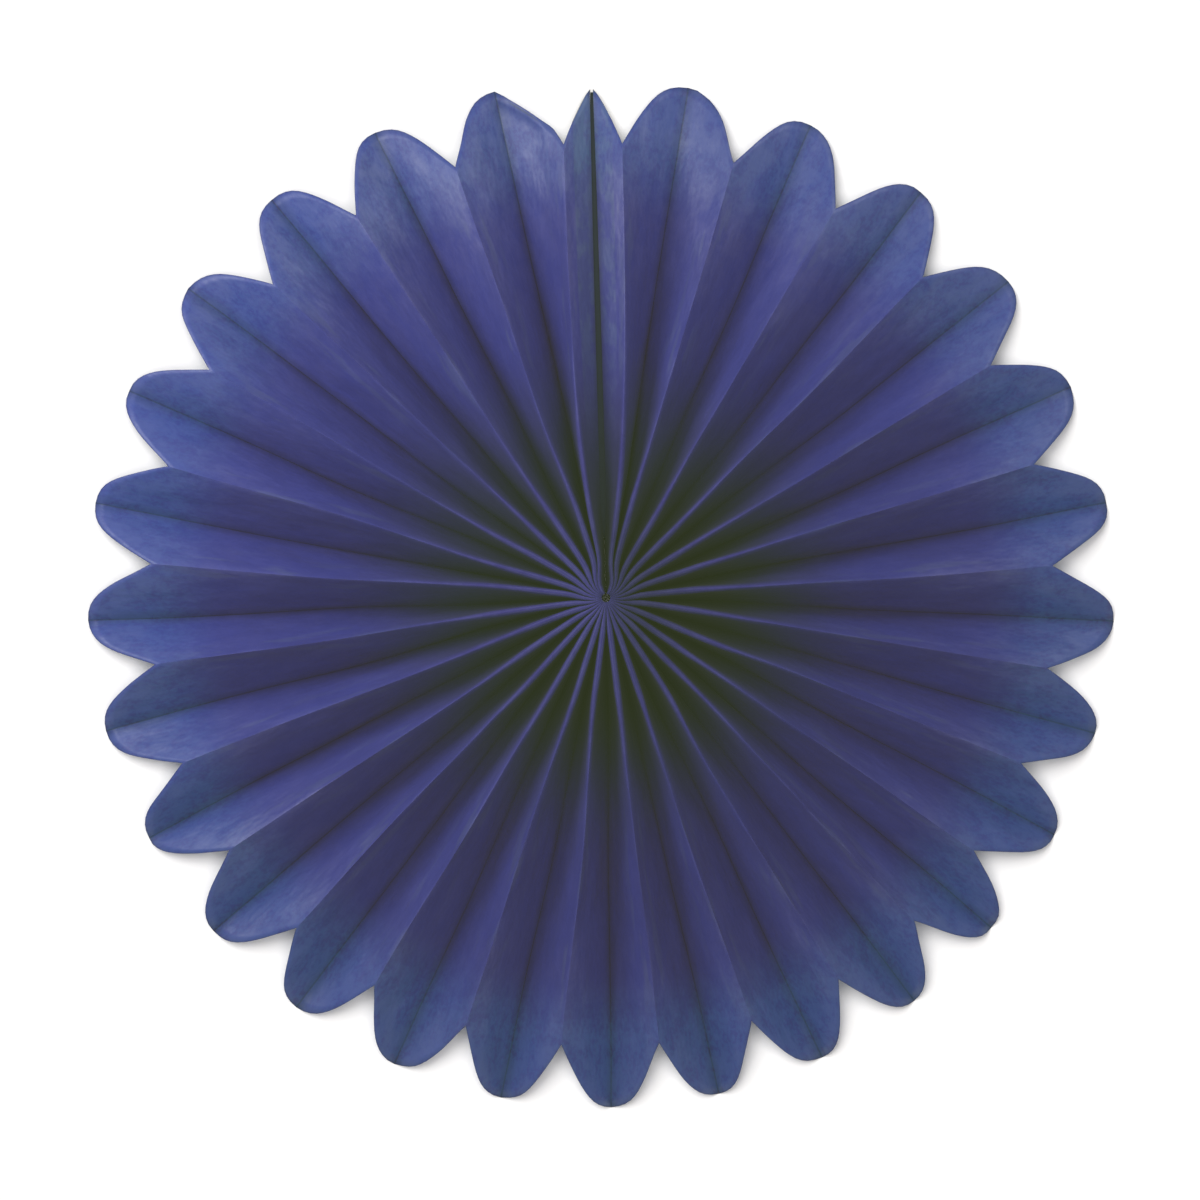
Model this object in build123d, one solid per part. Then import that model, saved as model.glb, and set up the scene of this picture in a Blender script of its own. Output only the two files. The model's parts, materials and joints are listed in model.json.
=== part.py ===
"""Paper fan medallion: one pleated, die-cut tissue sheet opened to a full circle.

Frame: the fan lies on its back. Z points out of the front, Y points at the seam,
and the origin is the middle of the hub on the back plane. Millimetres throughout.
"""
import os
from collections import namedtuple
from math import asin, cos, hypot, pi, radians, sin, sqrt, tan, tanh

from build123d import *

# The opened fan
fan_diameter = 406.0        # across the petal tips
petal_depth = 24.5          # from a tip in to the notch on the ridge fold beside it
petal_count = 27            # full petals, each a valley fold between two ridge folds
seam_half_angle = 3.75      # degrees from the seam to the first ridge fold, at the rim
bunching = 4.2              # degrees: petals open wider by the seam, closer opposite it

# The tissue
tissue_thickness = 0.25
pleat_share = 0.064         # pleat width, fold to fold, as a share of the diameter
flattest = 0.95             # most of its width that a panel may span on the level

# The hub, where the pleats are packed and glued to each other
hub_radius = 3.4
hub_open_half_angle = 35.0  # degrees kept clear for the slot at the hub
packing = 0.6               # most of a half pleat that a fold may fill

# Along the folds: even stations out to where the end cards start, even ones from there
# to the shoulder, then the die-cut edge
inner_zones = 2
outer_zones = 6
shoulder_inset = 13.5       # from a notch in to the shoulder

# The die-cut edge of one panel, as shares of its own depth and width
tip_roundness = 0.47
flank_depth = 0.315
flank_reach = 0.566

# The two end panels, trimmed off short of a valley, and the slot between them
end_width = 13.5
hub_gap_share = 0.1         # of the space kept clear at the hub
slot_half_gap = 1.2         # where the end cards start
tip_half_gap = 0.6
seam_tip_height = 4.0
stiff_offset = 11.7         # how far the stiff ends hold their ridge off the seam
stiff_length = 60.0         # how soon they reach that, going out from the hub

# The end cards, and the tape along the back that joins the ends and closes the slot behind
card_thickness = 0.5
card_share = 0.65           # of the end panel's width
card_start_radius = 44.0
tape_thickness = 0.2
tape_glue = 0.15
tape_reach = 0.7            # of the card's width
tape_end_share = 0.93       # of the way from the shoulder to the tip

tip_radius = fan_diameter / 2
notch_radius = tip_radius - petal_depth
shoulder_radius = notch_radius - shoulder_inset
pleat_width = fan_diameter * pleat_share
open_angle = radians(360.0 - 2.0 * seam_half_angle)
hub_angle = radians(360.0 - 2.0 * hub_open_half_angle)
hub_half_gap = hub_gap_share * hub_radius * sin(radians(hub_open_half_angle))
inner_step = (card_start_radius - hub_radius) / inner_zones
outer_step = (shoulder_radius - card_start_radius) / outer_zones
radii = [hub_radius + inner_step * k for k in range(inner_zones)]
radii += [card_start_radius + outer_step * k for k in range(outer_zones + 1)]
HUB, RIM = 0, len(radii)
UP = Vector(0, 0, 1)

# Points at each station: front and back, on the side before and after the fold
Fold = namedtuple("Fold", "front_before front_after back_before back_after")


def blend(p, q, share):
    """The point a share of the way from p to q."""
    return p + (q - p) * share


def fall(width, level):
    """How far a panel of this width drops over a level distance."""
    return sqrt(width**2 - min(level, flattest * width) ** 2)


def fold_angle(turn):
    """Angle of a fold on the opened fan, clockwise from the seam; turn runs 0 to 1."""
    return radians(seam_half_angle) + open_angle * turn + radians(bunching) * sin(2 * pi * turn)


def sideways(turn):
    """Level direction square to a fold, pointing clockwise."""
    return Vector(cos(fold_angle(turn)), -sin(fold_angle(turn)), 0)


def plan(turn, station, rim_radius):
    """Where a fold stands at a station, seen from the front."""
    radius = (radii + [rim_radius])[station]
    angle = fold_angle(turn)
    if station == HUB:
        angle = radians(hub_open_half_angle) + hub_angle * turn
    elif turn in (0, 1):
        offset = stiff_offset * tanh(radius / stiff_length) * (1 - 2 * turn)
        return Vector(offset, sqrt(radius**2 - offset**2), 0)
    return Vector(radius * sin(angle), radius * cos(angle), 0)


def half_pitch(turn, station):
    """Level distance from a fold to the folds beside it, the mean of both sides."""
    here = plan(turn, station, notch_radius)
    step = 0.5 / petal_count
    sides = [turn + way * step for way in (-1, 1) if 0 <= turn + way * step <= 1]
    return sum((plan(side, station, notch_radius) - here).length for side in sides) / len(sides)


def fold_half_width(turn, station):
    """Half the blunt outside of a fold, so that the sheet keeps its thickness round it."""
    pitch = half_pitch(turn, station)
    lean = asin(min(flattest, pitch / pleat_width))
    return min(tissue_thickness * tan(pi / 4 - lean / 2), packing * pitch)


def ridge_top(turn, station):
    """Front of a ridge fold: as high as the pleat width leaves once the panels lean out."""
    level = half_pitch(turn, station) - fold_half_width(turn, station)
    return plan(turn, station, notch_radius) + UP * (tissue_thickness + fall(pleat_width, level))


def ridge(turn):
    """A fold towards the front, blunt on top, with the paper's inside fold below it."""
    before, after, inside = [], [], []
    for station in range(RIM + 1):
        top = ridge_top(turn, station)
        half = sideways(turn) * fold_half_width(turn, station)
        before.append(top - half)
        after.append(top + half)
        inside.append(top - UP * tissue_thickness)
    return Fold(before, after, inside, inside)


def valley(turn):
    """A fold lying on the back plane, blunt below, with the inside fold above it."""
    before, after, inside = [], [], []
    for station in range(RIM + 1):
        foot = plan(turn, station, tip_radius)
        half = sideways(turn) * fold_half_width(turn, station)
        before.append(foot - half)
        after.append(foot + half)
        inside.append(foot + UP * tissue_thickness)
    return Fold(inside, inside, before, after)


def half_gap(radius):
    """Half the slot between the free edges, which close up from the cards in to the hub."""
    if radius < card_start_radius:
        share = (radius - hub_radius) / (card_start_radius - hub_radius)
        return hub_half_gap + (slot_half_gap - hub_half_gap) * share
    share = (radius - card_start_radius) / (tip_radius - card_start_radius)
    return slot_half_gap + (tip_half_gap - slot_half_gap) * share**2


def seam_points(hand):
    """The free edge beside the slot and the way out of the panel's hidden face there.

    hand is 1 on the right of the seam and -1 on the left.
    """
    points, normals = [], []
    for station in range(RIM + 1):
        top = ridge_top((1 - hand) // 2, station)
        radius = (radii + [tip_radius])[station]
        gap = half_gap(radius)
        level = abs(top.X) - gap
        drop = fall(end_width, level)
        height = seam_tip_height if station == RIM else top.Z - drop
        points.append(Vector(hand * gap, sqrt(radius**2 - gap**2), height))
        normals.append((Vector(hand * drop, 0, 0) - UP * level) / hypot(level, drop))
    return points, normals


def end_lines(hand):
    """The free edge of an end panel and the line where its card stops, as two folds."""
    points, normals = seam_points(hand)
    fold = ridge((1 - hand) // 2)
    tops = fold.front_before if hand == 1 else fold.front_after
    stops = [blend(p, q, card_share) for p, q in zip(points, tops)]
    lines = []
    for front in (points, stops):
        back = [p + way * tissue_thickness for p, way in zip(front, normals)]
        lines.append(Fold(front, front, back, back))
    return lines


def die_cut(tip, notch, shoulder):
    """The cut edge in the plane of its facet: round at the tip, then a near straight flank."""
    square = (shoulder - tip).cross(notch - tip).normalized()
    outward = Vector(tip.X, tip.Y, 0)
    outward = (outward - square * outward.dot(square)).normalized()
    depth = outward * (notch - tip).dot(outward)
    width = notch - tip - depth
    bend = tip + depth * flank_depth + width * flank_reach
    return Edge.make_bezier(tip, tip + width * tip_roundness, bend, notch)


def flat(*corners):
    """A flat face through its corners."""
    return Face(Wire.make_polygon(corners, close=True))


def facets(near, far, crease=0):
    """The paper between two straight edges, as two flat facets with a crease across."""
    across = 1 - crease
    return [flat(near[crease], near[across], far[across]), flat(near[crease], far[across], far[crease])]


def cut_facets(near, far, crease):
    """The outermost facets of a panel, the last one with the die-cut edge, and that edge."""
    high, tip, notch = near[crease], far[1 - crease], far[crease]
    curve = die_cut(tip, notch, high)
    outline = Wire([Edge.make_line(high, tip), curve, Edge.make_line(notch, high)])
    return [flat(high, near[1 - crease], tip), Face(outline)], curve


def sheet(front, back, crease, cut=False):
    """Both skins of a strip of sheet and the faces across its two ends.

    crease says which end of each edge, 0 or 1, is the higher one.
    """
    faces = facets(front[0], back[0])
    curves = []
    for rows in (front, back):
        for near, far in zip(rows, rows[1:-1] if cut else rows[1:]):
            faces += facets(near, far, crease)
        if cut:
            rim, curve = cut_facets(rows[-2], rows[-1], crease)
            faces += rim
            curves.append(curve)
    if cut:
        return faces + [Face.make_surface_from_curves(*curves)]
    return faces + facets(front[-1], back[-1])


def panel(first, second):
    """Front and back edges of a panel at every station, from one fold to the next."""
    front = [list(ends) for ends in zip(first.front_after, second.front_before)]
    back = [list(ends) for ends in zip(first.back_after, second.back_before)]
    return front, back


def fold_faces(before, after, inside):
    """The blunt outside of a fold and the small end faces over it."""
    faces = [flat(before[k], after[k], after[k + 1], before[k + 1]) for k in range(RIM)]
    return faces + [flat(before[k], after[k], inside[k]) for k in (HUB, RIM)]


def edge_faces(front, back):
    """The thickness of a sheet along one free edge."""
    faces = []
    for k in range(len(front) - 1):
        faces += facets([front[k], back[k]], [front[k + 1], back[k + 1]])
    return faces


def pleated_tissue():
    """The whole folded sheet as one solid."""
    ridges = [ridge(index / petal_count) for index in range(petal_count + 1)]
    valleys = [valley((index + 0.5) / petal_count) for index in range(petal_count)]
    faces = []
    for fold in ridges:
        faces += fold_faces(fold.front_before, fold.front_after, fold.back_after)
    for fold in valleys:
        faces += fold_faces(fold.back_before, fold.back_after, fold.front_after)
    for before, low, after in zip(ridges, valleys, ridges[1:]):
        faces += sheet(*panel(before, low), crease=0, cut=True)
        faces += sheet(*panel(low, after), crease=1, cut=True)
    right_edge, right_stop = end_lines(1)
    faces += sheet(*panel(right_edge, right_stop), crease=1, cut=True)
    faces += sheet(*panel(right_stop, ridges[0]), crease=1)
    left_edge, left_stop = end_lines(-1)
    faces += sheet(*panel(ridges[-1], left_stop), crease=0)
    faces += sheet(*panel(left_stop, left_edge), crease=0, cut=True)
    for edge in (right_edge, left_edge):
        faces += edge_faces(edge.front_after, edge.back_after)
    return Solid(Shell(faces))


def card_rows(hand):
    """Front and rear edges of an end card, from the slot inwards, on its panel's hidden face."""
    edge, stop = end_lines(hand)
    front = panel(edge, stop)[1]
    rear = [[p + way * card_thickness for p in row] for row, way in zip(front, seam_points(hand)[1])]
    return front, rear


def end_card(hand):
    """One stiff card strip, die-cut with the tissue it is glued to."""
    front, rear = [rows[inner_zones:] for rows in card_rows(hand)]
    faces = sheet(front, rear, crease=1, cut=True)
    for end in (0, 1):
        faces += edge_faces([row[end] for row in front], [row[end] for row in rear])
    return Solid(Shell(faces))


def tape_line(station):
    """Inner and outer corners of the tape across both ends, from right to left.

    The last line stops short of the tip, on the facets that hold the edges of the slot.
    """
    last = min(station, RIM - 1)
    inner, outer = [], []
    for hand in (1, -1):
        tissue, card = card_rows(hand)
        rear = card if station >= inner_zones else tissue
        way = seam_points(hand)[1][last]
        near, far = rear[last]
        if station == RIM:
            near, far = [blend(p, rear[RIM][0], tape_end_share) for p in (near, far)]
        pair = [blend(near, far, tape_reach), near][::hand]
        inner += [p + way * tape_glue for p in pair]
        outer += [p + way * (tape_glue + tape_thickness) for p in pair]
    return inner, outer


def joining_tape():
    """One strip of tape along the back of the seam, folded over from end to end."""
    lines = [tape_line(station) for station in range(HUB + 1, RIM + 1)]
    faces = []
    for k, crease in enumerate((0, 0, 1)):
        inner, outer = [[line[side][k:k + 2] for line in lines] for side in (0, 1)]
        faces += sheet(inner, outer, crease)
    for k in (0, 3):
        faces += edge_faces([line[0][k] for line in lines], [line[1][k] for line in lines])
    return Solid(Shell(faces))


os.makedirs("parts", exist_ok=True)
export_step(pleated_tissue(), "parts/pleated_tissue.step")
export_step(end_card(1), "parts/end_card_right.step")
export_step(end_card(-1), "parts/end_card_left.step")
export_step(joining_tape(), "parts/joining_tape.step")
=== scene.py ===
"""Paper fan medallion: the pleated tissue, its end cards and tape, and the stage.

Metres throughout, in the frame of the CAD model: the fan lies on its back, Z points out
of the front, Y points at the seam, and the origin is on the back plane below the hub.
"""

import json
from math import asin, cos, exp, pi, radians, sin, sqrt, tanh

import bmesh
import bpy
from bpy.props import FloatProperty, FloatVectorProperty, IntProperty, PointerProperty
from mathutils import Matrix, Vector, noise


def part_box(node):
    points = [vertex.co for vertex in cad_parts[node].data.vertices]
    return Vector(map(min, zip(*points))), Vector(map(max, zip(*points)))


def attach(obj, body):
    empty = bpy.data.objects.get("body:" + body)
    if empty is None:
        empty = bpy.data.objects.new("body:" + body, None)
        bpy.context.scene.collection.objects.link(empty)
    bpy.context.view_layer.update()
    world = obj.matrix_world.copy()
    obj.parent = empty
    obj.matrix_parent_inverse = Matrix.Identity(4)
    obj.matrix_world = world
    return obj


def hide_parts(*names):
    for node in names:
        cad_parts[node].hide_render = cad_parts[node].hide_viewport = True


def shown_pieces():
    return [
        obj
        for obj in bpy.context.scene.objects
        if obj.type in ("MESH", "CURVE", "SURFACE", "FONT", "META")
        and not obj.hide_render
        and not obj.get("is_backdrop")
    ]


bl_info = {
    "name": "Paper Fan Medallion",
    "version": (1, 0, 0),
    "blender": (4, 5, 0),
    "location": "View3D > Sidebar > Paper Fan",
    "description": "Folds a die-cut tissue strip into a full fan and sets a plain stage for it",
    "category": "Add Mesh",
}

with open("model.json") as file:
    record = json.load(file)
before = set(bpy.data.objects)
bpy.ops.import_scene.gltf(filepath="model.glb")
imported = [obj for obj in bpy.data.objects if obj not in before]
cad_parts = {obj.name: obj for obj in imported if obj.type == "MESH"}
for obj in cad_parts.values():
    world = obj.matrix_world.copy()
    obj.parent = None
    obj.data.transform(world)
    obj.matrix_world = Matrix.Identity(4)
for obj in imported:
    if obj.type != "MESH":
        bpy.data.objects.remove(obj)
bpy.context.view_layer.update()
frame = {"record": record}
tissue_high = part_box("pleated_tissue")[1]
card_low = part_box("end_card_right")[0]
tape_low, tape_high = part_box("joining_tape")
finish_colours = {row["slot"]: row["base_color"] for row in frame["record"]["materials"]}

UP = Vector((0, 0, 1))
MM = 0.001
MULTIPLY = {"data_type": "RGBA", "blend_type": "MULTIPLY"}
SKY_RAYS = ("Is Camera Ray", "Is Glossy Ray", "Is Transmission Ray")
SETTLING_ROUNDS = 4
HALVINGS = 30


def length(name, default, description):
    """A property for a size in metres."""
    return FloatProperty(
        name=name, default=default, description=description, unit="LENGTH", precision=5
    )


def angle(name, degrees, description):
    """A property for an angle, given in degrees."""
    return FloatProperty(
        name=name, default=radians(degrees), description=description, subtype="ANGLE"
    )


def share(name, default, description):
    """A property for a plain number."""
    return FloatProperty(name=name, default=default, description=description, precision=4)


def colour(name, default, description):
    """A property for a linear colour."""
    return FloatVectorProperty(
        name=name, default=default, description=description, subtype="COLOR"
    )


class FanShape(bpy.types.PropertyGroup):
    """Sizes of the folded sheet, and of the cards and tape behind its ends."""

    petal_count: IntProperty(
        name="Petals", default=27, min=3, description="Full petals round the fan"
    )
    tip_radius: length("Tip radius", tissue_high.y, "From the middle of the rim to the petal tips")
    petal_depth: length("Petal depth", 25.5 * MM, "From a tip in to the notch beside it")
    pleat_width: length("Pleat width", 26.0 * MM, "From fold to fold on the flat sheet")
    end_width: length("End width", 13.5 * MM, "Width of the trimmed panel at each end")
    thickness: length("Tissue thickness", 0.1 * MM, "Thickness of the tissue")
    flattest: share("Flattest", 0.95, "Most of its width that a panel may span on the level")

    seam_half_angle: angle("Seam half angle", 3.75, "From the seam to the first fold, at the rim")
    bunching: angle("Bunching", 4.2, "How much wider the petals open beside the seam")
    drift: angle("Drift", 1.2, "How far the folds at both sides have slid clockwise")
    swing: angle("Swing", 0.45, "How far the folds of each quarter lean to and fro")
    fold_jitter: angle("Fold jitter", 0.35, "How far single folds stand off their even places")

    hub_radius: length("Hub radius", 1.7 * MM, "Of the hole that the packed pleats leave")
    hub_open_half_angle: angle("Hub opening", 35.0, "Half the opening kept clear for the slot")
    hub_curl: length("Hub curl", 7.0 * MM, "How far out the pleats bend in towards the packed hub")
    hub_right: length(
        "Hub to the right", 2.0 * MM, "How far the hub sits right of the rim's middle"
    )
    hub_down: length("Hub down", 1.6 * MM, "How far the hub sits below the rim's middle")

    ridge_round: length("Ridge rounding", 1.1 * MM, "Radius of a fold towards the front")
    ridge_open: length(
        "Ridge opening", 4.0 * MM, "Half pleat past which the folds are creased tighter"
    )
    crisp_from: length("Crisp from", 60.0 * MM, "How far out from the hub the ridges are sharp")
    packing: share("Packing", 0.85, "Most of a half pleat that a rounded ridge may fill")
    fold_wander: length("Fold wander", 1.6 * MM, "How far a fold strays sideways along its run")
    panel_bulge: length("Panel bulge", 1.6 * MM, "How far a panel bows between its folds")
    buckle: length("Buckle", 0.8 * MM, "Height of the shallow dents in the panels")
    edge_waver: length("Edge waver", 0.7 * MM, "How far the cut edge strays from an even petal")

    tip_roundness: share(
        "Tip roundness", 0.47, "Share of a panel's width that the round tip leads into"
    )
    flank_depth: share("Flank depth", 0.315, "Share of the petal's depth where its flank bends")
    flank_reach: share("Flank reach", 0.566, "Share of a panel's width where its flank bends")

    hub_half_gap: length("Slot at the hub", 0.15 * MM, "Half the slot between the ends, at the hub")
    slot_half_gap: length("Slot at the cards", 1.2 * MM, "Half the slot where the end cards start")
    tip_half_gap: length("Slot at the tip", 0.6 * MM, "Half the slot between the ends, at the tip")
    seam_tip_inset: length(
        "Seam tip inset", 3.8 * MM, "How far the seam's tip stops short of the petal tips"
    )
    seam_tip_round: share(
        "Seam tip roundness", 1.2, "1 cuts the seam's tip straight to a point, more rounds it"
    )
    seam_tip_height: length(
        "Seam tip height", 4.0 * MM, "How high the stiff ends hold the tip of the seam"
    )
    stiff_offset: length(
        "Stiff offset", 11.7 * MM, "How far the stiff ends hold their fold off the seam"
    )
    stiff_length: length(
        "Stiff length", 72.0 * MM, "How soon they reach that, going out from the hub"
    )

    card_share: share("Card width", 0.65, "Share of the end panel that its card covers")
    card_start: length("Card start", card_low.y, "Where the cards start, going out from the hub")
    card_thickness: length("Card thickness", 0.5 * MM, "Thickness of the end cards")
    bare_edge: length(
        "Bare edge", 0.3 * MM, "How far the left card stands out of the tissue at the tip"
    )
    bare_length: length("Bare length", 7.0 * MM, "How far in from the tip the bare edge shows")
    tape_thickness: length("Tape thickness", 0.2 * MM, "Thickness of the joining tape")
    tape_glue: length("Tape glue", 0.15 * MM, "Glue between the tape and the cards")
    tape_share: share("Tape reach", 0.7, "Share of a card's width that the tape covers")
    tape_fold: share("Tape fold", 0.14, "Share of the tape's width that crosses the slot")
    tape_start: length("Tape start", tape_low.y, "Where the tape starts, going out from the hub")
    tape_end: length(
        "Tape end", tape_high.y - 2.2 * MM, "Where the tape ends, going out from the hub"
    )
    tape_taper: length(
        "Tape taper", 14.0 * MM, "How far in from the tip of the seam the tape narrows"
    )

    curl_cut: length("Curl", 4.6 * MM, "How far the loose rim by the seam has curled out of sight")
    curl_reach: share(
        "Curl reach", 0.82, "Share of that panel's width, from its valley, that has curled"
    )
    curl_lift: length("Curl lift", 4.0 * MM, "How far that rim stands up from the petal")
    curl_length: length("Curl length", 9.0 * MM, "How far in from the rim the curl starts")


class FanFinish(bpy.types.PropertyGroup):
    """Colours of the papers, among them painted shade, painted highlights and a painted glow."""

    tissue: colour("Tissue", (0.029, 0.039, 0.244), "Dyed tissue in the body of a panel")
    # painted shade: the tissue towards the hub is drawn darker and redder, for the dim bounced
    # light deep in the packed folds
    inner: colour(
        "Inner tissue", (0.034, 0.022, 0.205), "Tissue towards the hub, where the dye is redder"
    )
    tip: colour("Tips", (0.024, 0.039, 0.244), "Tissue at the petal tips")
    # pale also paints the highlight of the lit upper petals by the seam
    pale: colour(
        "Pale clouds", (0.090, 0.092, 0.256), "Thin places in the tissue, and where it has faded"
    )
    # painted highlight: paler streaks along the upper folds, where the light catches them
    fold_highlight_tint: colour("Scuffs", (0.060, 0.079, 0.231), "Tissue scuffed along its folds")
    over_card: colour("Over the cards", (0.055, 0.086, 0.222), "Tissue pressed on the pale cards")
    # painted highlight: pale lines along the fold crests, and along both sides of the rounded folds
    # by the hub
    worn_and_highlight: colour("Worn folds", (0.094, 0.090, 0.282), "Tissue rubbed pale along a fold")
    # painted glow: these emission colours make the tissue glow faintly, olive through the folds and
    # blue-green at the single-layer tips, standing in for light through the tissue and lifting its
    # darkest shade
    layers: colour(
        "Through layers", (0.235, 0.310, 0.113), "Weak glow of light through many layers"
    )
    outer_layers: colour(
        "Through fewer layers", (0.262, 0.235, 0.113), "Weak glow where the pleats spread"
    )
    ground_light: colour(
        "Through one layer", (0.265, 0.460, 0.480), "Light from the ground through the tips"
    )
    glow_level: share("Glow level", 0.1, "How strongly the light through the tissue shows")
    card: colour("Card", finish_colours["card"], "Bare grey card")
    # the tape's dark colour also stands as painted shade in the seam's slot
    tape: colour("Tape", finish_colours["tape"], "Dark paper tape")


class FanStage(bpy.types.PropertyGroup):
    """Camera, lamps and ground."""

    view_width: length("View width", 474.4 * MM, "Width of ground that the picture shows")
    camera_height: length("Camera height", 2.4, "From the ground up to the camera")
    camera_right: length("Camera to the right", -0.4 * MM, "From the middle of the rim")
    camera_up: length("Camera up", -2.4 * MM, "From the middle of the rim towards the seam")
    camera_roll: angle("Camera roll", -1.1, "Turn of the camera about its own line of sight")
    key_distance: length("Softbox distance", 0.55, "From the hub to each softbox")
    key_size: length("Softbox size", 0.30, "Side of each softbox")
    key_elevation: angle("Softbox elevation", 32.0, "Height of the softboxes above the ground")
    left_azimuth: angle("Left softbox", 60.0, "How far left of the seam the main softbox stands")
    right_azimuth: angle(
        "Right softbox", 30.0, "How far right of the seam the weaker softbox stands"
    )
    left_level: share("Left level", 0.50, "How bright white paper is that faces the left softbox")
    right_level: share(
        "Right level", 0.19, "How bright white paper is that faces the right softbox"
    )
    top_level: share(
        "Overhead level", 0.375, "How bright level white paper is under the overhead lamp"
    )
    top_width: angle("Overhead width", 52.0, "Width of the overhead lamp, seen from the fan")
    sky_level: share("Sky level", 0.02, "How bright white paper is under the sky alone")
    ground_level: share(
        "Ground lamp level", 0.62, "How bright the ground is under its steep lamp alone"
    )
    fill_level: share(
        "Ground fill level", 0.68, "How bright the ground is under its overhead lamp alone"
    )
    shadow_softness: angle("Shadow softness", 34.0, "Width of the ground lamp, seen from the fan")
    ground: colour("Ground", (0.86, 0.86, 0.86), "White table")
    fill: colour("Ground fill", (1.0, 0.97, 0.94), "Colour of the light that fills the shadow")


class Irregular:
    """How the paper strays from even folds, panels and cuts.

    Waves are counted along a metre, but dents_across and edge_waves along a panel's width.
    """

    seed_steps = (7.31, 3.17)
    fold_seed = 0.37
    bulge_seed = 0.71
    edge_seed = 0.19
    jitter_place = 4.7
    fold_waves = 14.0
    fold_waves_start = 4.0
    fold_waves_left = 1.4
    bulge_waves = 9.0
    bulge_outward = 0.35
    dent_waves = 55.0
    dents_across = 2.2
    dents_apart = 5.3
    dents_level = 1.7
    held_end = 0.25
    bow_start = 0.02
    bow_rise = 0.06
    edge_waves = 1.8
    loose_edge = 2.0


class Zone:
    """Plan distances from the hub, in metres: where a finish, a painted shade or a painted
    highlight starts and where it is full.
    """

    tips = (0.12, 0.19)
    inside = (0.11, 0.045)
    # where the painted highlight of the lit upper petals by the seam lies
    painted_highlight_top = (0.10, 0.16)
    painted_highlight_top_upward = (0.06, 0.15)
    # where the painted highlight streaks along the folds lie
    fold_highlight_start = (0.07, 0.10)
    fold_highlight_end = (0.18, 0.15)
    over_card = (0.05, 0.12)
    # where the painted highlight on the rounded folds by the hub is full
    crest_highlight = (0.06, 0.015)
    # where the painted shade right of the hub lies
    hub_right_shade = (0.05, 0.012)
    hub_right_shade_rightward = (-0.005, 0.011)
    # where the painted shade in the grooves lies
    groove_shade = (0.105, 0.04)
    # where the painted shade along the valley folds lies
    crease_shade = (0.06, 0.12)
    soft_crease_shade = (0.05, 0.10)
    single_layer = (0.148, 0.188)
    fewer_layers = (0.05, 0.11)


class Strength:
    """How strongly each mark, painted shade and painted highlight shows on the tissue, from 0 to 1.
    """

    clouds = 0.20
    clouds_at_tips = 0.12
    # how far the clouds pale into the painted highlight of the lit upper petals
    clouds_at_painted_highlight = 0.18
    fold_highlight = 0.55
    crest_highlight = 0.05
    crest_highlight_at_hub = 0.7
    hub_right_shade = 0.55
    groove_shade = 0.64
    groove_shade_lower_right = 0.30
    crease_shade = 0.5
    soft_crease_shade = 0.3
    cut_line = 0.3
    cut_line_glow = 0.5
    # painted shadow under the curled lip
    lip_shadow = 0.5


class Strand:
    """An output socket of a node tree. Sums on strands add Math nodes to the tree."""

    def __init__(self, tree, socket=None):
        self.tree = tree
        self.socket = socket

    def node(self, kind, settings, inputs, output=0):
        """Adds a node: its settings first, then the values or links of its sockets."""
        made = self.tree.nodes.new(kind)
        for name, value in settings.items():
            setattr(made, name, value)
        for name, value in inputs.items():
            if isinstance(value, Strand):
                self.tree.links.new(value.socket, made.inputs[name])
            else:
                made.inputs[name].default_value = value
        return Strand(self.tree, made.outputs[output] if made.outputs else None)

    def maths(self, operation, first, second):
        """A Math node on two values."""
        return self.node("ShaderNodeMath", {"operation": operation}, {0: first, 1: second})

    def __add__(self, other):
        return self.maths("ADD", self, other)

    def __radd__(self, other):
        return self.maths("ADD", other, self)

    def __sub__(self, other):
        return self.maths("SUBTRACT", self, other)

    def __rsub__(self, other):
        return self.maths("SUBTRACT", other, self)

    def __mul__(self, other):
        return self.maths("MULTIPLY", self, other)

    def __rmul__(self, other):
        return self.maths("MULTIPLY", other, self)

    def step(self, start, end):
        """0 before start, 1 after end and a smooth rise between; end may be below start."""
        settings = {"interpolation_type": "SMOOTHSTEP"}
        inputs = {"Value": self, "From Min": start, "From Max": end}
        return self.node("ShaderNodeMapRange", settings, inputs)

    def split(self):
        """The three parts of this vector."""
        inputs = {"Vector": self}
        return [self.node("ShaderNodeSeparateXYZ", {}, inputs, output=axis) for axis in "XYZ"]

    def stretch(self, scales):
        """This vector with each axis scaled."""
        return self.node("ShaderNodeVectorMath", {"operation": "MULTIPLY"}, {0: self, 1: scales})

    def cloud(self, scale, detail=2.0, roughness=0.5, distortion=0.0, dimensions="3D"):
        """Cloudy noise on this vector, from 0 to 1."""
        inputs = {"Vector": self, "Scale": scale, "Detail": detail, "Roughness": roughness}
        settings = {"noise_dimensions": dimensions}
        return self.node("ShaderNodeTexNoise", settings, {**inputs, "Distortion": distortion})

    def paper(self, scale, lengthways=1.0, **settings):
        """Cloudy noise on the flat sheet; its clouds are longer along the folds below 1."""
        return self.stretch((1.0, lengthways, 0.0)).cloud(scale, dimensions="2D", **settings)

    def tint(self, first, second):
        """First colour where this mask is 0 and second where it is 1."""
        settings = {"data_type": "RGBA", "blend_type": "MIX"}
        colours = [c if isinstance(c, Strand) else (*c, 1.0) for c in (first, second)]
        inputs = {0: self, 6: colours[0], 7: colours[1]}
        return self.node("ShaderNodeMix", settings, inputs, output=2)

    def bump(self, height, strength):
        """Normals bumped by this height field; height is its depth in metres."""
        inputs = {"Height": self, "Distance": height, "Strength": strength}
        return self.node("ShaderNodeBump", {}, inputs)


def new_material(name):
    """An empty node material and a strand to start its nodes from."""
    material = bpy.data.materials.new(name)
    material.use_nodes = True
    material.node_tree.nodes.clear()
    return material, Strand(material.node_tree)


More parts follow.
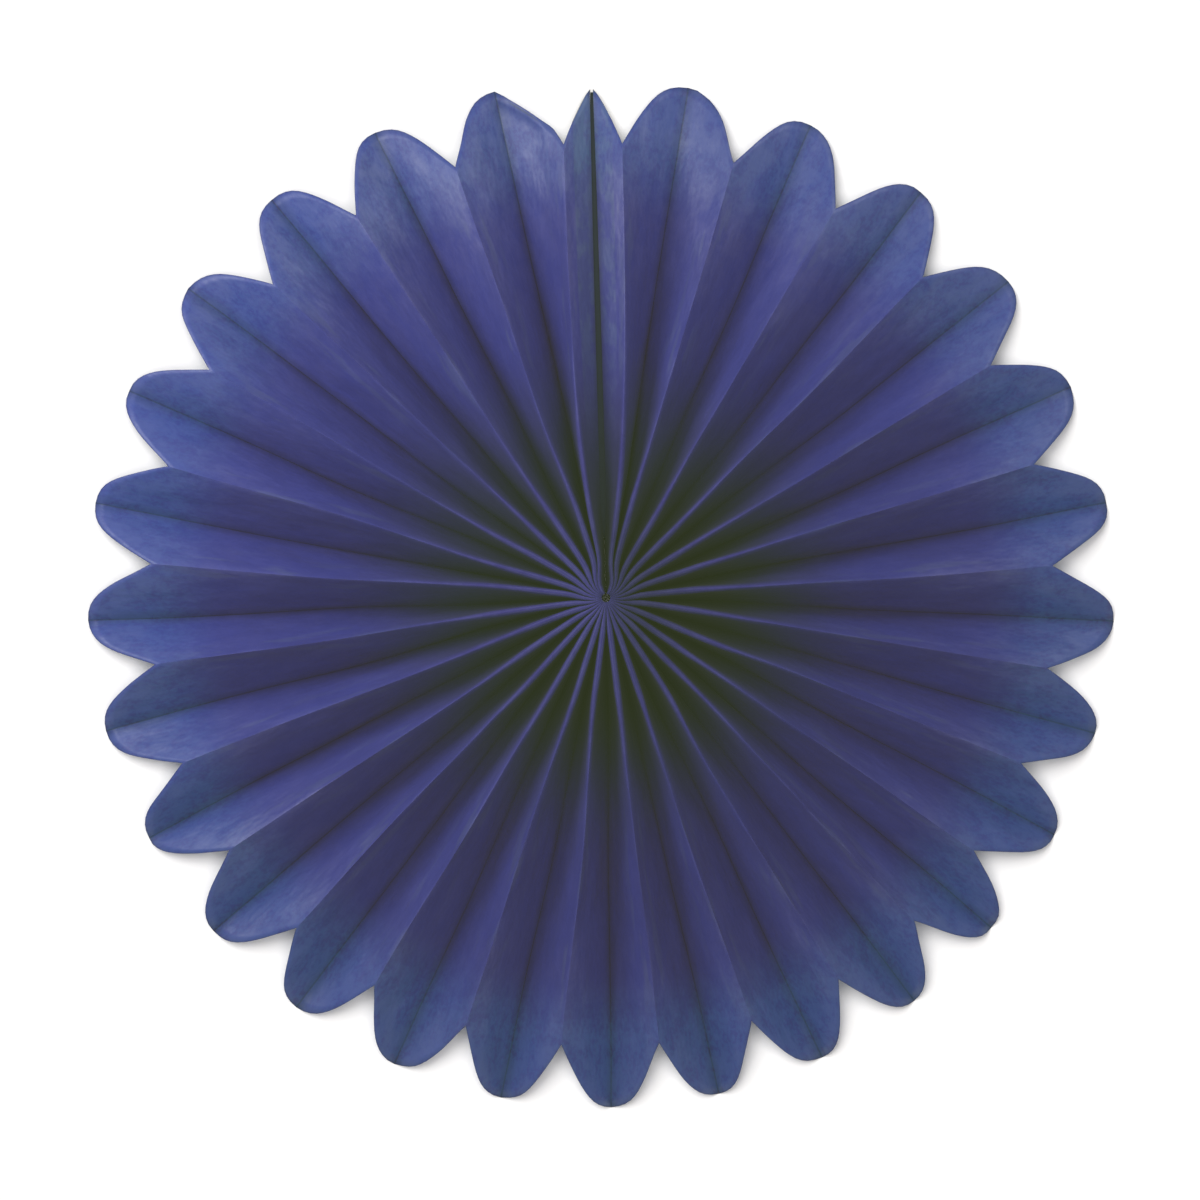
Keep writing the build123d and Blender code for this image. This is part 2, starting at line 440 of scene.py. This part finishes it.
def surface(start, **inputs):
    """One Principled surface on the output; names take their spaces from underscores."""
    sockets = {name.replace("_", " "): value for name, value in inputs.items()}
    shader = start.node("ShaderNodeBsdfPrincipled", {}, sockets)
    start.node("ShaderNodeOutputMaterial", {}, {"Surface": shader})


def tissue_material(fan, finish):
    """Dyed tissue: cloudy, with fibres, paler over card. Painted shade darkens it towards the hub,
    right of the hub, in the grooves, along the valley creases and under the curled lip; painted
    highlights pale its fold crests, streaks along the folds and the lit upper petals by the seam; a
    painted glow lifts it.
    """
    material, start = new_material("tissue_blue_and_painted_light")
    sheet = start.node("ShaderNodeAttribute", {"attribute_name": "sheet"}, {}, output="Vector")
    edge = start.node("ShaderNodeAttribute", {"attribute_name": "rim"}, {}, output="Vector")
    place = start.node("ShaderNodeTexCoord", {}, {}, output="Object")
    along, outward, height = sheet.split()
    from_rim, curled = edge.split()[:2]
    to_right, to_seam = place.split()[:2]

    formation = sheet.paper(140.0, 0.8, detail=4.0, roughness=0.62)
    blotches = sheet.paper(50.0, 0.5)
    streaks = sheet.paper(210.0, 0.16, detail=3.0)
    fibres = sheet.paper(1500.0, 0.22, roughness=0.7)
    wrinkles = sheet.paper(80.0, 0.5, detail=3.0, roughness=0.55)
    flecks = sheet.paper(700.0, 0.7, roughness=0.65)

    tips = outward.step(*Zone.tips)
    inside = outward.step(*Zone.inside)
    # painted highlight: the upper petals near the seam are drawn paler where the light falls on
    # them
    painted_highlight_top = to_seam.step(*Zone.painted_highlight_top_upward) * outward.step(*Zone.painted_highlight_top)
    mottle = 0.45 * formation.step(0.38, 0.62) + 0.4 * blotches.step(0.4, 0.6)
    mottle = mottle + 0.15 * flecks.step(0.4, 0.6)
    clouds = Strength.clouds + Strength.clouds_at_tips * tips
    # the clouds here also carry that painted highlight
    clouds = (clouds + Strength.clouds_at_painted_highlight * painted_highlight_top) * mottle
    # towards the hub the colour turns to the painted shade of the packed folds
    dye_and_painted_light = inside.tint(tips.tint(finish.tissue, finish.tip), finish.inner)
    dye_and_painted_light = clouds.tint(dye_and_painted_light, finish.pale)

    # painted highlight: paler streaks on the upper parts of the panels, near the ridges
    on_fold = height.step(0.4, 0.9) * outward.step(*Zone.fold_highlight_start)
    on_fold = on_fold * outward.step(*Zone.fold_highlight_end)
    dye_and_painted_light = (Strength.fold_highlight * on_fold * streaks.step(0.54, 0.68)).tint(dye_and_painted_light, finish.fold_highlight_tint)

    from_end = start.maths("MINIMUM", along, strip_length(fan) - along)
    card_edge = fan.card_share * fan.end_width
    over_card = from_end.step(card_edge + 0.4 * MM, card_edge - 0.4 * MM)
    over_card = over_card * outward.step(*Zone.over_card)
    left_half = along.step(0.7, 0.71)
    pressed = 0.15 + 0.5 * formation.step(0.4, 0.62) + 0.3 * left_half
    dye_and_painted_light = (over_card * pressed).tint(dye_and_painted_light, finish.over_card)

    # painted highlight: pale lines on the fold crests, strongest on the sides of the rounded folds
    # by the hub
    fold_sides = height.step(0.965, 0.975) * height.step(0.99, 0.982)
    crest_highlight_at_hub = Strength.crest_highlight_at_hub * outward.step(*Zone.crest_highlight) * fold_sides
    crest_highlight = Strength.crest_highlight * height.step(0.96, 1.0) + crest_highlight_at_hub
    dye_and_painted_light = (crest_highlight * (0.3 + fibres)).tint(dye_and_painted_light, finish.worn_and_highlight)

    # painted shade: the packed folds right of the hub are drawn darker, away from the light
    hub_right_shade = (to_right + 0.3 * to_seam).step(*Zone.hub_right_shade_rightward) * outward.step(*Zone.hub_right_shade)
    # painted shade: the deep grooves near the hub are drawn darker below the ridges, more so
    # towards the lower right, away from the light
    lower_right = start.maths("DIVIDE", to_right - to_seam, outward).step(-1.4, 0.85)
    deep = height.step(1.0, 0.82) * outward.step(*Zone.groove_shade)
    groove_shade = (Strength.groove_shade + Strength.groove_shade_lower_right * lower_right) * deep
    # painted shade: dark lines along the valley folds, where shade falls into the crease
    crease_shade = height.step(0.025, 0.0) * outward.step(*Zone.crease_shade)
    soft_crease_shade = height.step(0.05 + 0.3 * wrinkles, 0.0) * outward.step(*Zone.soft_crease_shade)
    cut_line = from_rim.step(0.7 * MM, 0.0)
    # painted shadow: a dark band just in from the curled rim, under its lip
    lip_shadow = from_rim.step(0.7 * MM, 1.2 * MM) * from_rim.step(2.6 * MM, 1.4 * MM)
    lip_shadow = lip_shadow * curled.step(0.5, 0.9)
    # shade: random tone of the formation and fibres, then the painted shades
    shade = 0.80 + 0.24 * formation + 0.16 * fibres
    shade = shade * (1 - groove_shade) * (1 - Strength.hub_right_shade * hub_right_shade)
    shade = shade * (1 - Strength.crease_shade * crease_shade) * (1 - Strength.soft_crease_shade * soft_crease_shade)
    shade = shade * (1 - Strength.cut_line * cut_line) * (1 - Strength.lip_shadow * lip_shadow)
    # the painted shades and highlights are all part of the base colour
    dye_and_painted_light = start.node("ShaderNodeMix", MULTIPLY, {0: 1.0, 6: dye_and_painted_light, 7: shade}, output=2)

    # painted glow: faint emission, olive in the folds and blue-green on the thin places of the
    # single-layer tips
    thin = 0.35 + 0.6 * formation.step(0.36, 0.64) + 0.7 * flecks.step(0.4, 0.6)
    single = outward.step(*Zone.single_layer) * thin * (1 - Strength.cut_line_glow * cut_line)
    through = outward.step(*Zone.fewer_layers).tint(finish.layers, finish.outer_layers)
    glow = single.tint(through, finish.ground_light)
    surface(
        start,
        Base_Color=dye_and_painted_light,
        Roughness=0.52 - 0.16 * mottle + 0.45 * inside,
        Specular_IOR_Level=0.36,
        Normal=wrinkles.bump(1.2 * MM, 0.7),
        Emission_Color=glow,
        Emission_Strength=finish.glow_level,
    )
    return material


def card_material(finish):
    """Grey board: flecked and patchy, with a faint grain along the strip."""
    material, start = new_material("card_grey_board")
    place = start.node("ShaderNodeTexCoord", {}, {}, output="Object")
    grain = place.stretch((1.0, 0.15, 1.0)).cloud(900.0, detail=3.0, roughness=0.65)
    flecks = place.cloud(2600.0, detail=1.0).step(0.64, 0.72)
    patches = place.cloud(60.0, detail=2.0)
    tone = 0.82 + 0.2 * grain + 0.12 * patches - 0.28 * flecks
    toned = {0: 1.0, 6: (*finish.card, 1.0), 7: tone}
    board = start.node("ShaderNodeMix", MULTIPLY, toned, output=2)
    surface(
        start,
        Base_Color=board,
        Roughness=0.78 + 0.14 * grain,
        Specular_IOR_Level=0.3,
        Normal=(0.7 * grain + 0.3 * flecks).bump(0.1 * MM, 0.4),
    )
    return material


def tape_material(finish):
    """Dark paper tape: fine crepe ridges across the strip and a little wear. Its dark colour also
    stands as painted shade in the slot along the seam, and it has a painted glow.
    """
    material, start = new_material("tape_dark_paper")
    place = start.node("ShaderNodeTexCoord", {}, {}, output="Object")
    crepe = place.stretch((0.3, 1.0, 1.0)).cloud(1800.0, detail=2.0, distortion=0.6)
    wear = place.cloud(140.0, detail=2.0)
    # the tape's own paler, worn colour
    worn_and_highlight = tuple(1.8 * part for part in finish.tape)
    surface(
        start,
        Base_Color=(0.6 * wear + 0.3 * crepe).tint(finish.tape, worn_and_highlight),
        Roughness=0.7 + 0.2 * crepe,
        Specular_IOR_Level=0.15,
        Normal=crepe.bump(0.12 * MM, 0.5),
        # painted glow: the tape glows faintly, like the tissue's folds
        Emission_Color=(*finish.layers, 1.0),
        Emission_Strength=0.9 * finish.glow_level,
    )
    return material


def wave(seed, place):
    """Smooth noise from -1 to 1 that is the same each run."""
    first, second = Irregular.seed_steps
    return noise.noise(Vector((seed * first + 0.5, place, seed * second)))


def is_end(fan, panel):
    """Whether a panel is one of the two that end at the slot."""
    return panel in (0, 2 * fan.petal_count + 1)


def freedom(fan, fold):
    """How freely a fold strays: not at all beside the slot, fully from the second fold on."""
    return min(1.0, fold / 2, fan.petal_count - fold / 2)


def hub_shift(fan, reach):
    """How far the hub draws a point off even, at this share of the tip radius."""
    return Vector((fan.hub_right, -fan.hub_down, 0)) * (1 - reach)


def fold_angle(fan, fold):
    """Angle of a fold on the opened fan, clockwise from the seam. Even folds are ridges."""
    turn = fold / (2 * fan.petal_count)
    open_angle = 2 * pi - 2 * fan.seam_half_angle
    even = fan.seam_half_angle + open_angle * turn + fan.bunching * sin(2 * pi * turn)
    slide = fan.drift * sin(2 * pi * turn) ** 2 + fan.swing * sin(4 * pi * turn)
    jitter = fan.fold_jitter * wave(fold, Irregular.jitter_place) * freedom(fan, fold)
    return even + slide + jitter


def plan(fan, fold, radius):
    """Where a fold stands at this distance from the hub, seen from the front."""
    last = 2 * fan.petal_count
    spread = fold_angle(fan, fold)
    reach = radius / fan.tip_radius
    if fold in (0, last):
        way = 1 if fold == 0 else -1
        offset = fan.stiff_offset * tanh(radius / fan.stiff_length)
        spread = way * asin(min(1.0, offset / radius))
    wander = fan.fold_wander * freedom(fan, fold)
    wander *= wave(fold + Irregular.fold_seed, Irregular.fold_waves * radius)
    wander *= min(1.0, Irregular.fold_waves_start * reach) * (Irregular.fold_waves_left - reach)
    spread += wander / radius
    packed = fan.hub_open_half_angle + (2 * pi - 2 * fan.hub_open_half_angle) * fold / last
    curl = exp(-(((radius - fan.hub_radius) / fan.hub_curl) ** 2))
    if fold == last:
        spread += 2 * pi
    spread += (packed - spread) * curl
    return hub_shift(fan, reach) + radius * Vector((sin(spread), cos(spread), 0))


def half_pitch(fan, fold, radius):
    """Level distance from a fold to the folds beside it, the mean of both sides."""
    here = plan(fan, fold, radius)
    sides = [side for side in (fold - 1, fold + 1) if 0 <= side <= 2 * fan.petal_count]
    return sum((plan(fan, side, radius) - here).length for side in sides) / len(sides)


def lean_and_round(fan, width, level):
    """How far a panel leans out from upright, and the radius of the rounded ridge over it."""
    rounding = min(fan.ridge_round * min(1.0, fan.ridge_open / level) ** 2, fan.packing * level)
    lean = 0.0
    for _ in range(SETTLING_ROUNDS):
        straight = width - rounding * (pi / 2 - lean)
        slant = (level - rounding * cos(lean)) / straight
        lean = asin(max(-fan.flattest, min(fan.flattest, slant)))
    return lean, rounding


def profile(fan, width, level, reach):
    """Level way and height, from the low edge of a panel, of a point at this share of its width."""
    lean, rounding = lean_and_round(fan, width, level)
    arc = rounding * (pi / 2 - lean)
    straight = width - arc
    run = reach * width
    if run <= straight or arc == 0:
        return run * sin(lean), run * cos(lean)
    turned = lean + (run - straight) / rounding
    across = straight * sin(lean) + rounding * (cos(lean) - cos(turned))
    up = straight * cos(lean) + rounding * (sin(turned) - sin(lean))
    return across, up


def ridge_height(fan, fold, radius):
    """Height of a ridge fold, from the mean pitch on its two sides."""
    return profile(fan, fan.pleat_width, half_pitch(fan, fold, radius), 1.0)[1]


def slot_edge(fan, hand, radius):
    """Free edge of an end panel beside the slot, seen from the front; hand is 1 on the right."""
    if radius < fan.card_start:
        opened = max(0.0, radius - fan.tape_start) / (fan.card_start - fan.tape_start)
        gap = fan.hub_half_gap + (fan.slot_half_gap - fan.hub_half_gap) * sqrt(opened)
    else:
        beyond = (radius - fan.card_start) / (fan.tip_radius - fan.card_start)
        gap = fan.slot_half_gap + (fan.tip_half_gap - fan.slot_half_gap) * beyond**2
    hub = hub_shift(fan, radius / fan.tip_radius)
    return hub + Vector((hand * gap, sqrt(max(radius**2 - gap**2, 0.0)), 0))


def panel_point(fan, panel, reach, radius):
    """A point on the opened sheet and the way out of its front.

    Panels count from the right end panel, 0, to the left one; reach runs from 0 at the
    valley fold or free edge to 1 at the ridge fold.
    """
    ridge = panel - panel % 2
    if is_end(fan, panel):
        hand = 1 if panel == 0 else -1
        low = slot_edge(fan, hand, radius)
        width = fan.end_width
    else:
        valley = panel - 1 + panel % 2
        low = plan(fan, valley, radius)
        width = fan.pleat_width
    high = plan(fan, ridge, radius)
    level = (high - low).length
    across, up = profile(fan, width, level, reach)
    full_across, full_up = profile(fan, width, level, 1.0)
    top = ridge_height(fan, ridge, radius)
    foot = 0.0
    if is_end(fan, panel):
        foot = max(top - full_up, fan.seam_tip_height * (radius / fan.tip_radius) ** 4)
    rise = top - foot
    flat_way = (high - low) / level
    out = (UP * level - flat_way * rise).normalized()
    way_up = UP * (foot + up * rise / full_up)
    return low + flat_way * (across * level / full_across) + way_up, out


def cut_share(fan, step):
    """Share of the width and of the petal's depth at a step along the die-cut edge of a panel."""
    early, late = 3 * (1 - step) ** 2 * step, 3 * (1 - step) * step**2
    width = early * fan.tip_roundness + late * fan.flank_reach + step**3
    depth = late * fan.flank_depth + step**3
    return width, depth


def cut_edge(fan, panel, step):
    """Share of a panel's width, and distance from the hub, at a step along its die-cut edge."""
    reach, depth = cut_share(fan, step)
    inset = 0.0
    if is_end(fan, panel):
        inset = fan.seam_tip_inset * (1 - reach)
        depth = reach**fan.seam_tip_round
    return reach, fan.tip_radius - inset - depth * fan.petal_depth


def curl_amount(fan, panel, reach):
    """How much of the loose curl by the seam this place on the rim has, from 0 to 1."""
    if panel != 2 * fan.petal_count:
        return 0.0
    return max(0.0, sin(pi * reach / fan.curl_reach)) if reach < fan.curl_reach else 0.0


def bow(fan, panel, reach, radius):
    """How far a panel bows out of its plane here: a slow bulge and shallow dents."""
    calm = Irregular.held_end if is_end(fan, panel) else 1.0
    room = min(1.0, max(0.0, radius - Irregular.bow_start) / Irregular.bow_rise)
    slow = wave(panel + Irregular.bulge_seed, Irregular.bulge_waves * radius)
    bulge = fan.panel_bulge * (Irregular.bulge_outward + slow) * sin(pi * reach)
    dented = Vector((
        Irregular.dent_waves * radius,
        Irregular.dents_across * reach + Irregular.dents_apart * panel,
        Irregular.dents_level,
    ))
    dents = fan.buckle * noise.noise(dented) * sin(pi * reach) ** 0.5
    return calm * room * (bulge + dents)


def sheet_place(fan, panel, step, outward):
    """Where a point of the tissue lies, and three measures of it.

    step runs from 0 at the low edge of the panel to 1 at its ridge, outward from 0 at the
    hub to 1 at the cut edge. The measures are its plan distance from the hub, its share of
    the panel's width, and how far from the hub the cut edge runs there.
    """
    reach, edge = cut_edge(fan, panel, step)
    loose = Irregular.loose_edge if panel in (2, 2 * fan.petal_count - 1) else 1.0
    waver = wave(panel + Irregular.edge_seed, Irregular.edge_waves * loose * reach)
    edge += loose * fan.edge_waver * waver * sin(pi * reach) ** 0.5
    curl = curl_amount(fan, panel, reach)
    edge -= fan.curl_cut * curl
    radius = fan.hub_radius + (edge - fan.hub_radius) * outward
    point, out = panel_point(fan, panel, reach, radius)
    lift = fan.curl_lift * curl * max(0.0, 1 - (edge - radius) / fan.curl_length) ** 2
    point += out * (bow(fan, panel, reach, radius) + lift)
    point.z = max(point.z, 0.0)
    return point, radius, reach, edge


def strip_length(fan):
    """Length of the flat strip from end to end."""
    return 2 * fan.petal_count * fan.pleat_width + 2 * fan.end_width


def strip_place(fan, panel, reach):
    """Distance along the flat strip from its right end."""
    if panel == 0:
        return reach * fan.end_width
    start = fan.end_width + (panel - 1) * fan.pleat_width
    if panel == 2 * fan.petal_count + 1:
        return start + (1 - reach) * fan.end_width
    return start + (reach if panel % 2 == 0 else 1 - reach) * fan.pleat_width


def mean_cut(fan, parts=64):
    """Share of the petal's depth that the die cuts away, averaged over a panel's width."""
    steps = [cut_share(fan, k / parts) for k in range(parts + 1)]
    return sum((b[0] - a[0]) * (a[1] + b[1]) / 2 for a, b in zip(steps, steps[1:]))


def cut_step(fan, reach):
    """The step along the die-cut edge at a share of the panel's width."""
    low, high = 0.0, 1.0
    for _ in range(HALVINGS):
        middle = (low + high) / 2
        if cut_share(fan, middle)[0] < reach:
            low = middle
        else:
            high = middle
    return low


def card_place(fan, panel, across, outward, bare):
    """A point in the middle of an end card, which is glued behind its panel.

    across runs from 0 at the slot to 1 at the card's hidden side. bare is how far the card
    stands out of the tissue at the tip.
    """
    reach, edge = cut_edge(fan, panel, across * cut_step(fan, fan.card_share))
    radius = fan.card_start + (edge - fan.card_start) * outward
    point, out = panel_point(fan, panel, reach, radius)
    from_tip = fan.tip_radius - fan.seam_tip_inset - radius
    at_tip = max(0.0, 1 - from_tip / fan.bare_length) * (1 - across)
    slot_way = Vector((-1 if panel == 0 else 1, 0, 0))
    back = fan.thickness / 2 + fan.card_thickness / 2
    return point + out * (bow(fan, panel, reach, radius) - back) + slot_way * bare * at_tip


def tape_place(fan, across, radius):
    """A point in the middle of the tape; across runs from -1 on the left card to 1 on the right."""
    on_card = max(0.0, (abs(across) - fan.tape_fold) / (1 - fan.tape_fold))
    taper = min(1.0, (fan.tip_radius - fan.seam_tip_inset - radius) / fan.tape_taper)
    reach = on_card * taper * fan.tape_share * fan.card_share
    to_card = min(1.0, (radius - fan.tape_start) / (fan.card_start - fan.tape_start))
    card = fan.card_thickness * to_card
    back = fan.thickness / 2 + card + fan.tape_glue + fan.tape_thickness / 2
    ends = []
    for panel in (2 * fan.petal_count + 1, 0):
        point, out = panel_point(fan, panel, reach, radius)
        ends.append(point + out * (bow(fan, panel, reach, radius) - back))
    if on_card:
        return ends[0] if across < 0 else ends[1]
    return ends[0].lerp(ends[1], (across / fan.tape_fold + 1) / 2)


def new_strip(steps, rows, place):
    """A grid whose points go where place puts them, from their shares across and outward."""
    strip = bmesh.new()
    bmesh.ops.create_grid(strip, x_segments=steps, y_segments=rows, size=0.5)
    for vert in strip.verts:
        vert.co = place(vert.co.x + 0.5, vert.co.y + 0.5)
    for face in strip.faces:
        face.smooth = True
    bmesh.ops.recalc_face_normals(strip, faces=strip.faces[:])
    return strip


def new_object(name, maker, material):
    """Turns a bmesh into an object with one material."""
    mesh = bpy.data.meshes.new(name)
    maker.to_mesh(mesh)
    maker.free()
    mesh.materials.append(material)
    made = bpy.data.objects.new(name, mesh)
    bpy.context.scene.collection.objects.link(made)
    return made


def new_piece(name, maker, material, node):
    """Turns a bmesh into a piece that rides on the body and stands for its CAD node."""
    piece = new_object(name, maker, material)
    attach(piece, "root")
    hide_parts(node)
    return piece


def thicken(piece, thickness):
    """Gives a sheet its thickness, half on each side."""
    modifier = piece.modifiers.new("Thickness", "SOLIDIFY")
    modifier.thickness = thickness
    modifier.offset = 0.0


class FAN_OT_fold_tissue(bpy.types.Operator):
    """Fold one flat strip of tissue into the opened fan"""

    bl_idname = "fan.fold_tissue"
    bl_label = "Fold Tissue"

    steps = 14
    rows = 56
    ridge_crowding = 1.6
    hub_crowding = 1.12

    def execute(self, context):
        fan = context.scene.fan_shape
        panels = 2 * fan.petal_count + 2
        sheet = bmesh.new()
        columns = panels * self.steps
        bmesh.ops.create_grid(sheet, x_segments=columns, y_segments=self.rows, size=0.5)
        place = sheet.verts.layers.float_vector.new("sheet")
        rim = sheet.verts.layers.float_vector.new("rim")
        creases = set()
        for vert in sheet.verts:
            column = round((vert.co.x + 0.5) * columns)
            panel = min(column // self.steps, panels - 1)
            step = column / self.steps - panel
            if panel % 2 == 1:
                step = 1 - step
            step = 1 - (1 - step) ** self.ridge_crowding
            outward = (vert.co.y + 0.5) ** self.hub_crowding
            vert.co, radius, reach, edge = sheet_place(fan, panel, step, outward)
            if reach == 0 or reach == 1 and radius > fan.crisp_from:
                creases.add(vert)
            vert[place] = (strip_place(fan, panel, reach), radius, reach)
            vert[rim] = (edge - radius, curl_amount(fan, panel, reach), 0.0)
        for face in sheet.faces:
            face.smooth = True
        for edge in sheet.edges:
            edge.smooth = not creases.issuperset(edge.verts)
        material = tissue_material(fan, context.scene.fan_finish)
        piece = new_piece("tissue", sheet, material, "pleated_tissue")
        thicken(piece, fan.thickness)
        flat = (strip_length(fan), fan.tip_radius - fan.hub_radius)
        area = flat[0] * (flat[1] - fan.petal_depth * mean_cut(fan))
        return {"FINISHED"}


class FAN_OT_cut_cards(bpy.types.Operator):
    """Cut the two stiff cards that back the ends of the tissue"""

    bl_idname = "fan.cut_cards"
    bl_label = "Cut End Cards"

    steps = 10
    rows = 60

    def execute(self, context):
        fan = context.scene.fan_shape
        material = card_material(context.scene.fan_finish)
        for panel, side in ((0, "right"), (2 * fan.petal_count + 1, "left")):
            bare = fan.bare_edge if side == "left" else 0.0

            def place(across, outward):
                return card_place(fan, panel, across, outward, bare)

            strip = new_strip(self.steps, self.rows, place)
            piece = new_piece("card_" + side, strip, material, "end_card_" + side)
            thicken(piece, fan.card_thickness)
        return {"FINISHED"}


class FAN_OT_stick_tape(bpy.types.Operator):
    """Stick one strip of tape along the back of the seam"""

    bl_idname = "fan.stick_tape"
    bl_label = "Stick Tape"

    steps = 28
    rows = 60

    def execute(self, context):
        fan = context.scene.fan_shape

        def place(across, outward):
            radius = fan.tape_start + (fan.tape_end - fan.tape_start) * outward
            return tape_place(fan, 2 * across - 1, radius)

        strip = new_strip(self.steps, self.rows, place)
        material = tape_material(context.scene.fan_finish)
        piece = new_piece("tape_strip", strip, material, "joining_tape")
        thicken(piece, fan.tape_thickness)
        return {"FINISHED"}


class FAN_OT_set_stage(bpy.types.Operator):
    """Set the white ground, the lamps and the camera"""

    bl_idname = "fan.set_stage"
    bl_label = "Set Stage"

    ground_half_side = 3.0
    ground_gap = 0.2 * MM
    ground_lamp_way = Vector((-0.30, 0.40, 1.0))
    sensor_width = 36.0

    def execute(self, context):
        stage = context.scene.fan_stage
        context.scene.view_settings.view_transform = "Standard"
        ground = self.ground(stage)
        self.softbox(stage, "softbox_left", stage.left_azimuth, stage.left_level)
        self.softbox(stage, "softbox_right", -stage.right_azimuth, stage.right_level)
        self.far_lamp("overhead", UP, stage.top_level, stage.top_width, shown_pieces())
        self.far_lamp(
            "ground_lamp", self.ground_lamp_way, stage.ground_level, stage.shadow_softness, [ground]
        )
        self.far_lamp("ground_fill", UP, stage.fill_level, stage.top_width, [ground], stage.fill)
        self.sky(context.scene, stage)
        self.camera(context.scene, stage)
        return {"FINISHED"}

    def ground(self, stage):
        """A wide white table just below the folds."""
        material, start = new_material("table_white")
        surface(start, Base_Color=(*stage.ground, 1.0), Roughness=0.9, Specular_IOR_Level=0.1)
        maker = bmesh.new()
        bmesh.ops.create_grid(maker, x_segments=1, y_segments=1, size=self.ground_half_side)
        bmesh.ops.translate(maker, verts=maker.verts[:], vec=-self.ground_gap * UP)
        ground = new_object("ground", maker, material)
        ground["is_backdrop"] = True
        return ground

    @staticmethod
    def lamp(name, data, place, lit):
        """A lamp at a place, turned to the origin, that lights only the objects in lit."""
        lamp = bpy.data.objects.new(name, data)
        lamp.location = place
        lamp.rotation_euler = (-place).to_track_quat("-Z", "Y").to_euler()
        bpy.context.scene.collection.objects.link(lamp)
        group = bpy.data.collections.new("lit_by_" + name)
        for piece in lit:
            group.objects.link(piece)
        lamp.light_linking.receiver_collection = group

    def softbox(self, stage, name, azimuth, level):
        """A square lamp beyond the seam; azimuth counts to the left of the seam."""
        data = bpy.data.lights.new(name, "AREA")
        data.shape = "SQUARE"
        data.size = stage.key_size
        data.energy = level * (pi * stage.key_distance) ** 2
        flat = cos(stage.key_elevation)
        way = Vector((-flat * sin(azimuth), flat * cos(azimuth), sin(stage.key_elevation)))
        self.lamp(name, data, way * stage.key_distance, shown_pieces())

    def far_lamp(self, name, way, level, width, lit, tint=(1, 1, 1)):
        """A wide lamp far off in the direction given."""
        data = bpy.data.lights.new(name, "SUN")
        data.color = tint
        data.energy = level * pi
        data.angle = width
        self.lamp(name, data, way, lit)

    @staticmethod
    def sky(scene, stage):
        """Even white light from all round, white to the camera."""
        world = bpy.data.worlds.new("sky")
        world.use_nodes = True
        world.node_tree.nodes.clear()
        scene.world = world
        start = Strand(world.node_tree)
        path = [start.node("ShaderNodeLightPath", {}, {}, output=name) for name in SKY_RAYS]
        seen = path[0] + path[1] + path[2]
        even = {"Color": (1, 1, 1, 1)}
        light = start.node("ShaderNodeBackground", {}, {**even, "Strength": stage.sky_level})
        white = start.node("ShaderNodeBackground", {}, {**even, "Strength": 1.0})
        mixed = start.node("ShaderNodeMixShader", {}, {0: seen.step(0.0, 1.0), 1: light, 2: white})
        start.node("ShaderNodeOutputWorld", {}, {"Surface": mixed})

    def camera(self, scene, stage):
        """Straight above the fan, with the seam near the top of the picture."""
        data = bpy.data.cameras.new("camera")
        data.sensor_width = self.sensor_width
        data.lens = self.sensor_width * stage.camera_height / stage.view_width
        camera = bpy.data.objects.new("camera", data)
        camera.location = (stage.camera_right, stage.camera_up, stage.camera_height)
        camera.rotation_euler = (0, 0, stage.camera_roll)
        scene.collection.objects.link(camera)
        scene.camera = camera


class FAN_PT_sidebar(bpy.types.Panel):
    """Lists the fan's steps and sizes"""

    bl_label = "Paper Fan"
    bl_idname = "FAN_PT_sidebar"
    bl_space_type = "VIEW_3D"
    bl_region_type = "UI"
    bl_category = "Paper Fan"

    def draw(self, context):
        for operator in operators:
            self.layout.operator(operator.bl_idname)
        for group in (context.scene.fan_shape, context.scene.fan_finish, context.scene.fan_stage):
            box = self.layout.box()
            for name in group.__annotations__:
                box.prop(group, name)


groups = (FanShape, FanFinish, FanStage)
operators = (FAN_OT_fold_tissue, FAN_OT_cut_cards, FAN_OT_stick_tape, FAN_OT_set_stage)
classes = (*groups, *operators, FAN_PT_sidebar)


def register():
    for each in classes:
        bpy.utils.register_class(each)
    bpy.types.Scene.fan_shape = PointerProperty(type=FanShape)
    bpy.types.Scene.fan_finish = PointerProperty(type=FanFinish)
    bpy.types.Scene.fan_stage = PointerProperty(type=FanStage)


def unregister():
    del bpy.types.Scene.fan_stage
    del bpy.types.Scene.fan_finish
    del bpy.types.Scene.fan_shape
    for each in reversed(classes):
        bpy.utils.unregister_class(each)


def main():
    """Builds the fan and its stage."""
    register()
    bpy.ops.fan.fold_tissue()
    bpy.ops.fan.cut_cards()
    bpy.ops.fan.stick_tape()
    bpy.ops.fan.set_stage()


if __name__ == "__main__":
    main()
